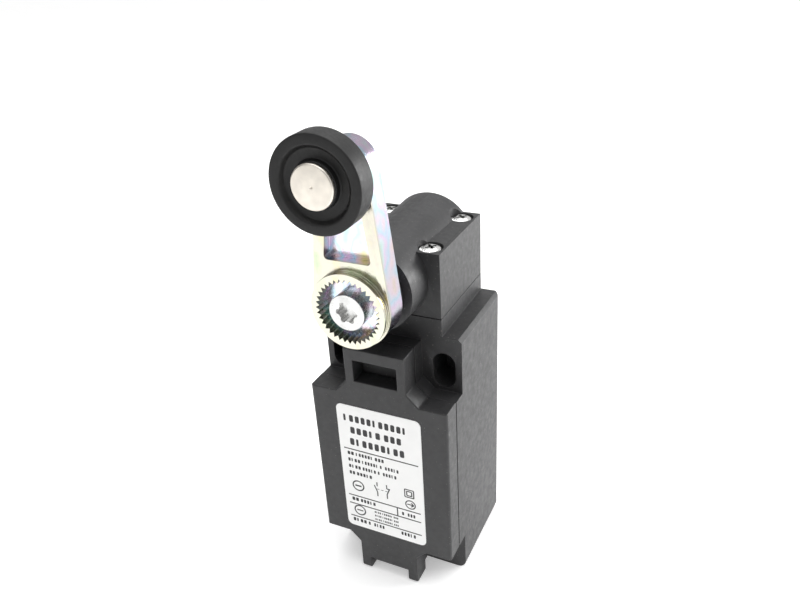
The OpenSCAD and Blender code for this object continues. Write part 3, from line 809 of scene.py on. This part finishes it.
CASE_BLACK = DustyPlastic("case plastic", "case_plastic", (0.018, 0.018, 0.019))
COLLAR_BLACK = MouldedPlastic("collar plastic", "collar", (0.012, 0.012, 0.013), roughness=0.42)
BLOCK_GREY = MouldedPlastic("contact block plastic", "block_plastic", (0.075, 0.08, 0.088))
IVORY = MouldedPlastic("ivory plastic", "plunger_plastic", (0.62, 0.58, 0.5), fleck=1.05)
SEAL = Rubber("seal rubber", "seal")
ZINC = PassivatedZinc("passivated zinc", "zinc", raised_y_mm=-48.4)
PLATED = Steel("bright plated steel", "zinc_plate", (0.7, 0.7, 0.69), 0.2)
GROUND = Steel("ground steel", "steel", (0.6, 0.6, 0.61), 0.24, 0.15, (1.0, 8.0, 1.0))
WIRE = Steel("spring wire", "spring_steel", (0.5, 0.51, 0.53), 0.28)
BRONZE = Steel("sintered bronze", "bush", (0.52, 0.36, 0.2), 0.42, 0.1)
COPPER = Steel("stamped copper alloy", "copper_alloy", (0.72, 0.42, 0.24), 0.3)
BRASS = Steel("stamped brass", "terminal_brass", (0.76, 0.58, 0.28), 0.27)
FILM = PrintedFilm("label film", "label", (0.9, 0.9, 0.89))
INK = MouldedPlastic("label ink", "label", (0.012, 0.012, 0.013), roughness=0.5,
                     grain_mm=0.3, grain_depth_mm=0.002)
CLEAR = ClearPlastic("clear cover plastic", "clear_plastic")


# ---------------------------------------------------------------- case


@dataclass
class Case(SubAssembly):
    """The case, its gasket and the thread in its cable entry."""

    edge_mm: float = 0.35
    thread_pitch_mm: float = 1.5
    thread_tip_mm: float = 0.3
    thread_root_mm: float = 0.05
    thread_start_mm: float = 1.6
    root_share: float = 0.36
    crest_share: float = 0.06
    thread_steps: int = 72
    fade_steps: int = 24

    def build(self) -> None:
        """Builds every piece of the case."""
        self.soften_node("base_housing", Body.CASE, CASE_BLACK, self.edge_mm)
        self.keep(SEAL, "cover_gasket")
        self.add(self.entry_thread(), Body.CASE, CASE_BLACK)

    def entry_thread(self) -> bpy.types.Object:
        """Makes the ridges of the thread inside the cable entry.

        Returns:
            The thread.
        """
        entry = next(m for m in frame["record"]["mounts"] if m["name"] == "cable_entry")
        centre = Vector(entry["pos_m"])
        root = (entry["dims"]["r_mm"] + self.thread_root_mm) * MM
        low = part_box("base_housing")[0].z + self.thread_start_mm * MM
        turns = int(entry["dims"]["length_mm"] / self.thread_pitch_mm) - 1
        pitch, steps = self.thread_pitch_mm * MM, turns * self.thread_steps

        def fill(work: bmesh.types.BMesh) -> None:
            """Fills the bmesh with one helical ridge that fades at its ends.

            Args:
                work: The bmesh.
            """
            rows = []
            for i in range(steps + 1):
                a, z = 2 * math.pi * i / self.thread_steps, low + pitch * i / self.thread_steps
                fade = min(1.0, i / self.fade_steps, (steps - i) / self.fade_steps)
                crest = (entry["dims"]["r_mm"] - self.thread_tip_mm * fade) * MM
                section = ((root, -self.root_share), (crest, -self.crest_share),
                           (crest, self.crest_share), (root, self.root_share))
                rows.append([work.verts.new((centre.x + r * math.cos(a), centre.y + r * math.sin(a),
                                             z + share * pitch)) for r, share in section])
            for here, there in zip(rows, rows[1:]):
                band(work, here, there)
            work.faces.new(rows[0])
            work.faces.new(rows[-1])

        piece = mesh_piece("entry_thread", fill)
        smooth(piece)
        return piece


# ---------------------------------------------------------------- cover and label


@dataclass
class Print:
    """Collects flat marks on the label, placed in mm from its top left corner.

    Sizes of the blocks in a line are shares of the line's height.
    """

    left: float
    top: float
    face: float
    lift_mm: float = 0.02
    pen_mm: float = 0.34
    ring_strokes: int = 28
    corner: float = 0.18
    block_pitch: float = 0.82
    block_gap: float = 0.26
    word_gap: float = 0.3
    narrow: float = 0.55
    shapes: list[list[Point2]] = field(default_factory=list)

    def outline(self, points: Sequence[Point2]) -> None:
        """Adds a filled convex outline."""
        self.shapes.append(list(points))

    def bar(self, u: float, v: float, length: float, height: float) -> None:
        """Adds a bar with round corners.

        Args:
            u: Left end, in mm from the label's left.
            v: Top edge, in mm from the label's top.
            length: Length of the bar.
            height: Height of the bar.
        """
        corners = [(u, v), (u + length, v), (u + length, v + height), (u, v + height)]
        self.outline(rounded(corners, self.corner * height, 2))

    def words(self, u: float, v: float, height: float, lengths: Iterable[float]) -> None:
        """Adds a line of blocks, grouped like words, some of them narrow.

        Args:
            u: Left end of the line.
            v: Top of the line.
            height: Height of the blocks.
            lengths: Length of each word.
        """
        for length in lengths:
            count = max(1, round(length / (self.block_pitch * height)))
            step = length / count
            for k in range(count):
                wide = step - self.block_gap * height
                slim = (k * 7 + count) % 5 == 1
                self.bar(u + k * step, v, wide * (self.narrow if slim else 1.0), height)
            u += length + self.word_gap * height

    def stroke(self, start: Point2, end: Point2, width: float | None = None) -> None:
        """Adds a straight stroke.

        Args:
            start: One end.
            end: The other end.
            width: Its width, the pen's own when left out.
        """
        a, b = Vector(start), Vector(end)
        side = Vector((a.y - b.y, b.x - a.x)).normalized() * (width or self.pen_mm) / 2
        self.outline([tuple(a + side), tuple(b + side), tuple(b - side), tuple(a - side)])

    def loop(self, spots: Sequence[Point2], width: float | None = None) -> None:
        """Adds a closed line of strokes.

        Args:
            spots: Its corners.
            width: Its width, the pen's own when left out.
        """
        for here, there in zip(spots, [*spots[1:], spots[0]]):
            self.stroke(here, there, width)

    def ring(self, centre: Point2, radius: float, width: float | None = None) -> None:
        """Adds a ring.

        Args:
            centre: Its centre.
            radius: Its radius.
            width: Width of its line, the pen's own when left out.
        """
        turns = [2 * math.pi * i / self.ring_strokes for i in range(self.ring_strokes)]
        self.loop([(centre[0] + radius * math.cos(a), centre[1] + radius * math.sin(a)) for a in turns], width)

    def square(self, centre: Point2, half: float) -> None:
        """Adds the outline of a square of a given half side."""
        x, y = centre
        self.loop([(x - half, y - half), (x + half, y - half), (x + half, y + half), (x - half, y + half)])

    def piece(self, name: str) -> bpy.types.Object:
        """Makes one thin piece of all the marks.

        Args:
            name: Name of the piece.

        Returns:
            The piece.
        """
        lift = self.lift_mm * MM

        def fill(work: bmesh.types.BMesh) -> None:
            """Extrudes every outline by the ink's thickness.

            Args:
                work: The bmesh.
            """
            for shape in self.shapes:
                spots = [(self.left + u * MM, self.top - v * MM) for u, v in shape]
                front = [work.verts.new((x, self.face - lift, z)) for x, z in spots]
                back = [work.verts.new((x, self.face, z)) for x, z in spots]
                work.faces.new(front)
                work.faces.new(back[::-1])
                band(work, back, front)

        return mesh_piece(name, fill)


# Left end, top and height of each line of blocks, and the length of each word.
LABEL_LINES = (
    (2.0, 3.1, 2.2, (19.5,)),
    (3.8, 7.0, 2.2, (9.6, 5.6)),
    (3.4, 10.9, 2.3, (17.0,)),
    (2.2, 15.7, 1.15, (2.2, 5.6, 3.0)),
    (2.2, 18.0, 1.15, (4.0, 5.2, 1.2, 4.4)),
    (2.2, 20.3, 1.15, (4.0, 4.4, 1.2, 4.4)),
    (2.2, 22.6, 1.15, (2.0, 5.0)),
    (2.2, 32.3, 1.2, (2.4, 5.0)),
    (18.0, 32.6, 1.2, (1.4, 2.6)),
    (9.2, 35.4, 0.7, (2.2, 3.4, 1.6)),
    (9.2, 36.75, 0.7, (2.2, 3.4, 1.6)),
    (9.2, 38.1, 0.7, (2.2, 3.4, 1.6)),
    (1.9, 40.2, 1.25, (4.6, 1.4, 3.6)),
    (17.4, 40.2, 1.25, (4.8,)),
)
# Level of each rule across the label.
LABEL_RULES = (14.6, 31.4, 34.5, 39.3)
# Centre, radius and line width of each ring.
LABEL_RINGS = (((20.8, 29.2), 1.45, 0.34), ((4.6, 27.6), 1.7, 0.4), ((4.4, 36.8), 1.7, 0.4))
# Two ends and width of each stroke: an arrow, the rule between two fields, the bar of a ring.
LABEL_STROKES = (
    ((19.8, 29.2), (21.7, 29.2), 0.34),
    ((21.0, 28.5), (21.8, 29.2), 0.34),
    ((21.0, 29.9), (21.8, 29.2), 0.34),
    ((16.6, 31.4), (16.6, 34.6), 0.36),
    ((3.4, 36.8), (5.4, 36.8), 0.4),
)


@dataclass
class Cover(SubAssembly):
    """The hinged cover with its printed label."""

    edge_mm: float = 0.9
    inner_share: float = 0.35
    near_mm: float = 0.02
    rule_inset_mm: float = 1.2
    rule_mm: float = 0.36
    diagram: Point2 = (12.2, 26.8)
    double_square: Point2 = (20.6, 25.3)
    square_halves_mm: Point2 = (1.35, 0.75)

    def build(self) -> None:
        """Builds the cover, the label and its print."""
        cover = self.soften_node("front_cover", Body.COVER, CASE_BLACK, self.edge_mm)
        low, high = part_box("front_cover")
        near = self.near_mm * MM

        def share(a: Vector, b: Vector) -> float:
            """Rounds the cover's outer front edges most.

            Args:
                a: One end of an edge.
                b: Its other end.

            Returns:
                The edge's share of the rounding.
            """
            front = abs(a.y - low.y) < near and abs(b.y - low.y) < near
            side = abs(abs(a.x) - high.x) < near and abs(abs(b.x) - high.x) < near
            return 1.0 if front and side else self.inner_share

        weigh_edges(cover, share)
        self.keep(FILM, "rating_label")
        self.add(self.label_print(), Body.COVER, INK)

    def label_print(self) -> bpy.types.Object:
        """Makes generic print: lines of blocks, rules and circuit symbols.

        Returns:
            The print.
        """
        low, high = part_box("rating_label")
        ink = Print(low.x, high.z, low.y)
        width = (high.x - low.x) / MM
        for u, v, height, lengths in LABEL_LINES:
            ink.words(u, v, height, lengths)
        for v in LABEL_RULES:
            ink.bar(self.rule_inset_mm, v, width - 2 * self.rule_inset_mm, self.rule_mm)
        for centre, radius, line in LABEL_RINGS:
            ink.ring(centre, radius, line)
        for start, end, line in LABEL_STROKES:
            ink.stroke(start, end, line)
        ink.bar(3.6, 27.35, 2.0, 0.5)
        for half in self.square_halves_mm:
            ink.square(self.double_square, half)
        self.contact_diagram(ink, *self.diagram)
        return ink.piece("label_print")

    def contact_diagram(self, ink: Print, u: float, v: float) -> None:
        """Draws one opening and one closing contact.

        Args:
            ink: The print to draw on.
            u: Middle of the diagram.
            v: Level of the contacts.
        """
        for side, lean in ((-1.5, -0.9), (1.5, 0.9)):
            ink.stroke((u + side, v - 2.4), (u + side, v - 1.0))
            ink.stroke((u + side, v + 2.6), (u + side, v + 1.0))
            ink.stroke((u + side, v + 1.0), (u + side + lean, v - 1.2))
        ink.stroke((u + 1.5, v - 1.0), (u + 2.5, v - 1.0))
        for dash in (-1.6, -0.3, 1.0):
            ink.stroke((u + dash, v), (u + dash + 0.7, v), 0.2)


# ---------------------------------------------------------------- head


@dataclass
class Head(SubAssembly):
    """The head block with its screws, bushes and seals."""

    edge_mm: float = 0.35
    screw_edge_mm: float = 0.25

    def build(self) -> None:
        """Builds every piece of the head."""
        self.soften_node("head_casing", Body.CASE, CASE_BLACK, self.edge_mm)
        self.soften_node("head_screws", Body.CASE, PLATED, self.screw_edge_mm)
        self.keep(BRONZE, "front_bush", "rear_bush")
        self.keep(SEAL, "head_gasket", "shaft_seal", "plunger_seal")


# ---------------------------------------------------------------- lever


@dataclass
class Lever(SubAssembly):
    """The lever with the parts that turn with it."""

    edge_mm: float = 0.3
    screw_edge_mm: float = 0.22
    collar_edge_mm: float = 0.2

    def build(self) -> None:
        """Builds every piece that turns with the lever's shaft."""
        self.soften_node("lever_arm", Body.LEVER, ZINC, self.edge_mm)
        self.soften_node("lever_screw", Body.LEVER, PLATED, self.screw_edge_mm)
        self.soften_node("drive_collar", Body.LEVER, COLLAR_BLACK, self.collar_edge_mm, 2)
        self.keep(PLATED, "lock_washer")
        self.keep(GROUND, "lever_shaft", "cam")
        self.keep(WIRE, "shaft_clip")


@dataclass
class Roller(SubAssembly):
    """The roller and the pin that it turns on; bore, shank, rivet and dimple are radii."""

    rim_mm: float = 2.4
    rim_slope_mm: float = 0.8
    hub_gap_mm: float = 0.15
    hub_slope_mm: float = 0.2
    hub_sink_mm: float = 0.05
    dish_mm: float = 1.5
    dish_outer_share: float = 0.85
    edge_mm: float = 0.35
    bore_mm: float = 3.05
    head_mm: float = 0.9
    chamfer_mm: float = 0.28
    shank_mm: float = 3.0
    rivet_mm: float = 4.2
    rivet_thick_mm: float = 0.9
    rivet_slope_mm: float = 0.5
    rivet_rim_mm: float = 0.3
    dimple_mm: float = 0.35
    dimple_deep_mm: float = 0.25
    pin_edge_mm: float = 0.12
    axis_mm: float = 0.02

    def build(self) -> None:
        """Builds the roller and its pin."""
        low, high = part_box("roller")
        centre = (low + high) / 2
        self.add(self.wheel(low, high, centre), Body.ROLLER,
                 TurnedPlastic("roller plastic", "roller_plastic", (0.007, 0.007, 0.007), centre))
        self.add(self.pin(centre), Body.LEVER,
                 TurnedSteel("turned stainless", "pin_steel", (0.8, 0.75, 0.67), centre))

    def wheel(self, low: Vector, high: Vector, centre: Vector) -> bpy.types.Object:
        """Makes the roller, dished on both faces.

        Args:
            low: Lowest corner of the roller's box.
            high: Highest corner of that box.
            centre: Its middle.

        Returns:
            The roller.
        """
        pin_low, pin_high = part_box("roller_pin")
        radius = (high.x - low.x) / 2
        hub = (pin_high.x - pin_low.x) / 2 + self.hub_gap_mm * MM
        rim = radius - self.rim_mm * MM
        dish, bore, sink = self.dish_mm * MM, self.bore_mm * MM, self.hub_sink_mm * MM
        front, back = low.y, high.y
        half = [(bore, front + sink), (hub, front + sink), (hub + self.hub_slope_mm * MM, front + dish),
                (rim - self.rim_slope_mm * MM, front + self.dish_outer_share * dish),
                (rim, front), (radius, front)]
        other = [(r, back + front - y) for r, y in reversed(half)]
        piece = turned("roller_wheel", centre, rounded(half + other, self.edge_mm * MM), 160)
        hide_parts("roller")
        return piece

    def pin(self, centre: Vector) -> bpy.types.Object:
        """Makes the pin with its faced head and its rivet end.

        Args:
            centre: A point on the pin's axis.

        Returns:
            The pin.
        """
        low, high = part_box("roller_pin")
        head, front, back = (high.x - low.x) / 2, low.y, high.y
        chamfer, seat = self.chamfer_mm * MM, front + self.head_mm * MM
        shank, rivet, axis = self.shank_mm * MM, self.rivet_mm * MM, self.axis_mm * MM
        rivet_seat, dimple = back - self.rivet_thick_mm * MM, self.dimple_mm * MM
        outline = [(dimple, front), (head - chamfer, front), (head, front + chamfer), (head, seat),
                   (shank, seat), (shank, rivet_seat), (rivet, rivet_seat),
                   (rivet, back - self.rivet_rim_mm * MM), (rivet - self.rivet_slope_mm * MM, back),
                   (axis, back)]
        profile = [(axis, front + self.dimple_deep_mm * MM)]
        profile += rounded(outline, self.pin_edge_mm * MM, 3, closed=False)
        piece = turned("roller_pin_turned", centre, profile, 128)
        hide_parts("roller_pin")
        return piece


# ---------------------------------------------------------------- inside


@dataclass
class Inside(SubAssembly):
    """The plunger and the contact block."""

    travel_mm: float = 2.6
    block_edge_mm: float = 0.2
    screw_edge_mm: float = 0.15
    plate_edge_mm: float = 0.12

    def build(self) -> None:
        """Builds every piece inside the case."""
        self.keep(IVORY, "plunger", "contact_carriage")
        self.pressed_spring("return_spring", "plunger_slide")
        self.pressed_spring("carriage_spring", "carriage_slide")
        self.keep(WIRE, "bridge_springs")
        self.soften_node("contact_block", Body.CASE, BLOCK_GREY, self.block_edge_mm, 2)
        self.keep(CLEAR, "block_cover")
        self.keep(COPPER, "nc_bridge", "no_bridge")
        self.keep(BRASS, *(f"{row}_terminal_{side}" for row in ("nc", "no") for side in ("left", "right")))
        self.soften_node("terminal_screws", Body.CASE, PLATED, self.screw_edge_mm, 2)
        self.soften_node("clamp_plates", Body.CASE, PLATED, self.plate_edge_mm, 2)
        self.soften_node("block_screws", Body.CASE, PLATED, self.screw_edge_mm, 2)

    def pressed_spring(self, node: str, joint: str) -> None:
        """Replaces a coil spring by a copy of it.

        Args:
            node: Name of the spring's node.
            joint: The slide that presses on its upper end; not used.
        """
        mesh = frame["nodes"][node].data.copy()
        coil = in_scene(node + "_pressed", mesh)
        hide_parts(node)
        self.add(coil, Body.CASE, WIRE)
        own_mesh(coil)


# ---------------------------------------------------------------- studio


@dataclass(frozen=True)
class Softbox:
    """A square light that faces the object."""

    name: str
    place_m: Point3
    size_m: float
    watts: float


@dataclass
class Studio:
    """Floor, lights and camera."""

    camera_mm: Point3 = (81.3, -183.67, 138.32)
    look: Point3 = (-0.40086, 0.79213, -0.46026)
    up: Point3 = (-0.15464, 0.43668, 0.88623)
    lens_mm: float = 34.24
    sensor_mm: float = 36.0
    floor_m: float = 6.0
    floor_shades: Point2 = (0.88, 0.92)
    floor_patch_mm: float = 60.0
    glow: float = 0.34
    glow_front_m: Point2 = (-0.6, -0.25)
    sky_towards: Point3 = (0.45, 0.5, 0.74)
    sky_span: Point2 = (-0.5, 0.9)
    sky_strength: Point2 = (0.14, 0.95)
    softboxes: tuple[Softbox, ...] = (
        Softbox("overhead", (0.05, 0.1, 0.8), 0.9, 5.0),
        Softbox("front_fill", (-0.3, -0.7, 0.45), 0.5, 0.9),
        Softbox("right_rear", (0.62, 0.5, 0.14), 0.45, 6.0),
    )

    def build(self) -> None:
        """Builds the studio."""
        self.floor()
        self.world()
        for box in self.softboxes:
            self.soft_light(box)
        self.camera()
        bpy.context.scene.view_settings.view_transform = "Standard"

    def floor(self) -> None:
        """Lays a pale sheet, lit from below, under the case's foot."""
        level, half = CAD_BOX[0].z, self.floor_m / 2

        def fill(work: bmesh.types.BMesh) -> None:
            """Fills the bmesh with one square.

            Args:
                work: The bmesh.
            """
            corners = [(-half, -half), (half, -half), (half, half), (-half, half)]
            work.faces.new([work.verts.new((x, y, level)) for x, y in corners])

        piece = mesh_piece("floor", fill)
        w = Wiring("studio sheet")
        dark, light = self.floor_shades
        w.colour(w.ramp(w.noise(self.floor_patch_mm), [(NOISE_LOW, (dark,) * 3), (NOISE_HIGH, (light,) * 3)]))
        glow = w.remap(w.axis(w.place, "Y"), self.glow_front_m, (0.0, self.glow))
        w.join(self.plain_to_camera(w.tree, glow, self.glow), w.shader.inputs["Emission Strength"])
        w.set(Roughness=0.9, Specular_IOR_Level=0.1, Emission_Color=(1, 1, 1, 1))
        dress(piece, w.material)
        piece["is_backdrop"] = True

    def plain_to_camera(self, tree: bpy.types.NodeTree, strength: Socket, least: float) -> Socket:
        """Keeps a backdrop pale where it is looked at straight.

        Args:
            tree: Node tree to build in.
            strength: How much light the backdrop gives the object.
            least: Least strength that it shows.

        Returns:
            The strength to use.
        """
        seen = tree.nodes.new("ShaderNodeMath")
        seen.operation = "MULTIPLY"
        seen.inputs[1].default_value = least
        tree.links.new(tree.nodes.new("ShaderNodeLightPath").outputs["Is Camera Ray"], seen.inputs[0])
        most = tree.nodes.new("ShaderNodeMath")
        most.operation = "MAXIMUM"
        tree.links.new(seen.outputs["Value"], most.inputs[0])
        tree.links.new(strength, most.inputs[1])
        return most.outputs["Value"]

    def world(self) -> None:
        """Surrounds the scene with soft light that comes mostly from above and behind."""
        world = bpy.data.worlds.new("studio")
        world.use_nodes = True
        tree = world.node_tree
        nodes, links = tree.nodes, tree.links
        lean = nodes.new("ShaderNodeVectorMath")
        lean.operation = "DOT_PRODUCT"
        lean.inputs[1].default_value = Vector(self.sky_towards).normalized()
        fade = nodes.new("ShaderNodeMapRange")
        fade.inputs["From Min"].default_value, fade.inputs["From Max"].default_value = self.sky_span
        fade.inputs["To Min"].default_value, fade.inputs["To Max"].default_value = self.sky_strength
        sky = nodes["Background"]
        sky.inputs["Color"].default_value = (1, 1, 1, 1)
        links.new(nodes.new("ShaderNodeTexCoord").outputs["Generated"], lean.inputs[0])
        links.new(lean.outputs["Value"], fade.inputs["Value"])
        strength = self.plain_to_camera(tree, fade.outputs["Result"], self.sky_strength[1])
        links.new(strength, sky.inputs["Strength"])
        bpy.context.scene.world = world

    def soft_light(self, box: Softbox) -> None:
        """Adds a softbox.

        Args:
            box: Its name, place, size and power.
        """
        lamp = bpy.data.lights.new(box.name, "AREA")
        lamp.size = box.size_m
        lamp.energy = box.watts
        light = bpy.data.objects.new(box.name, lamp)
        middle = (CAD_BOX[0] + CAD_BOX[1]) / 2
        light.location = box.place_m
        light.rotation_mode = "QUATERNION"
        light.rotation_quaternion = (middle - Vector(box.place_m)).to_track_quat("-Z", "Y")
        bpy.context.scene.collection.objects.link(light)

    def camera(self) -> None:
        """Places the camera."""
        data = bpy.data.cameras.new("camera")
        data.lens = self.lens_mm
        data.sensor_width = self.sensor_mm
        data.clip_start, data.clip_end = 0.01, 50.0
        camera = bpy.data.objects.new("camera", data)
        back = -Vector(self.look).normalized()
        right = Vector(self.up).cross(back).normalized()
        turn = Matrix((right, back.cross(right), back)).transposed()
        camera.matrix_world = Matrix.Translation(Vector(self.camera_mm) * MM) @ turn.to_4x4()
        bpy.context.scene.collection.objects.link(camera)
        bpy.context.scene.camera = camera


def main() -> None:
    """Builds the sub-assemblies in order and reports each piece."""
    logging.basicConfig(level=logging.INFO, format="%(name)s: %(message)s")
    finishes = Finishes()
    for kind in (Case, Cover, Head, Lever, Roller, Inside):
        group = kind(finishes)
        group.build()
        for name in group.made:
            LOG.info("%s: %s", kind.__name__, name)
    Studio().build()
    boxes = [[list(corner) for corner in pair] for pair in (CAD_BOX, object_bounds())]


if __name__ == "__main__":
    main()
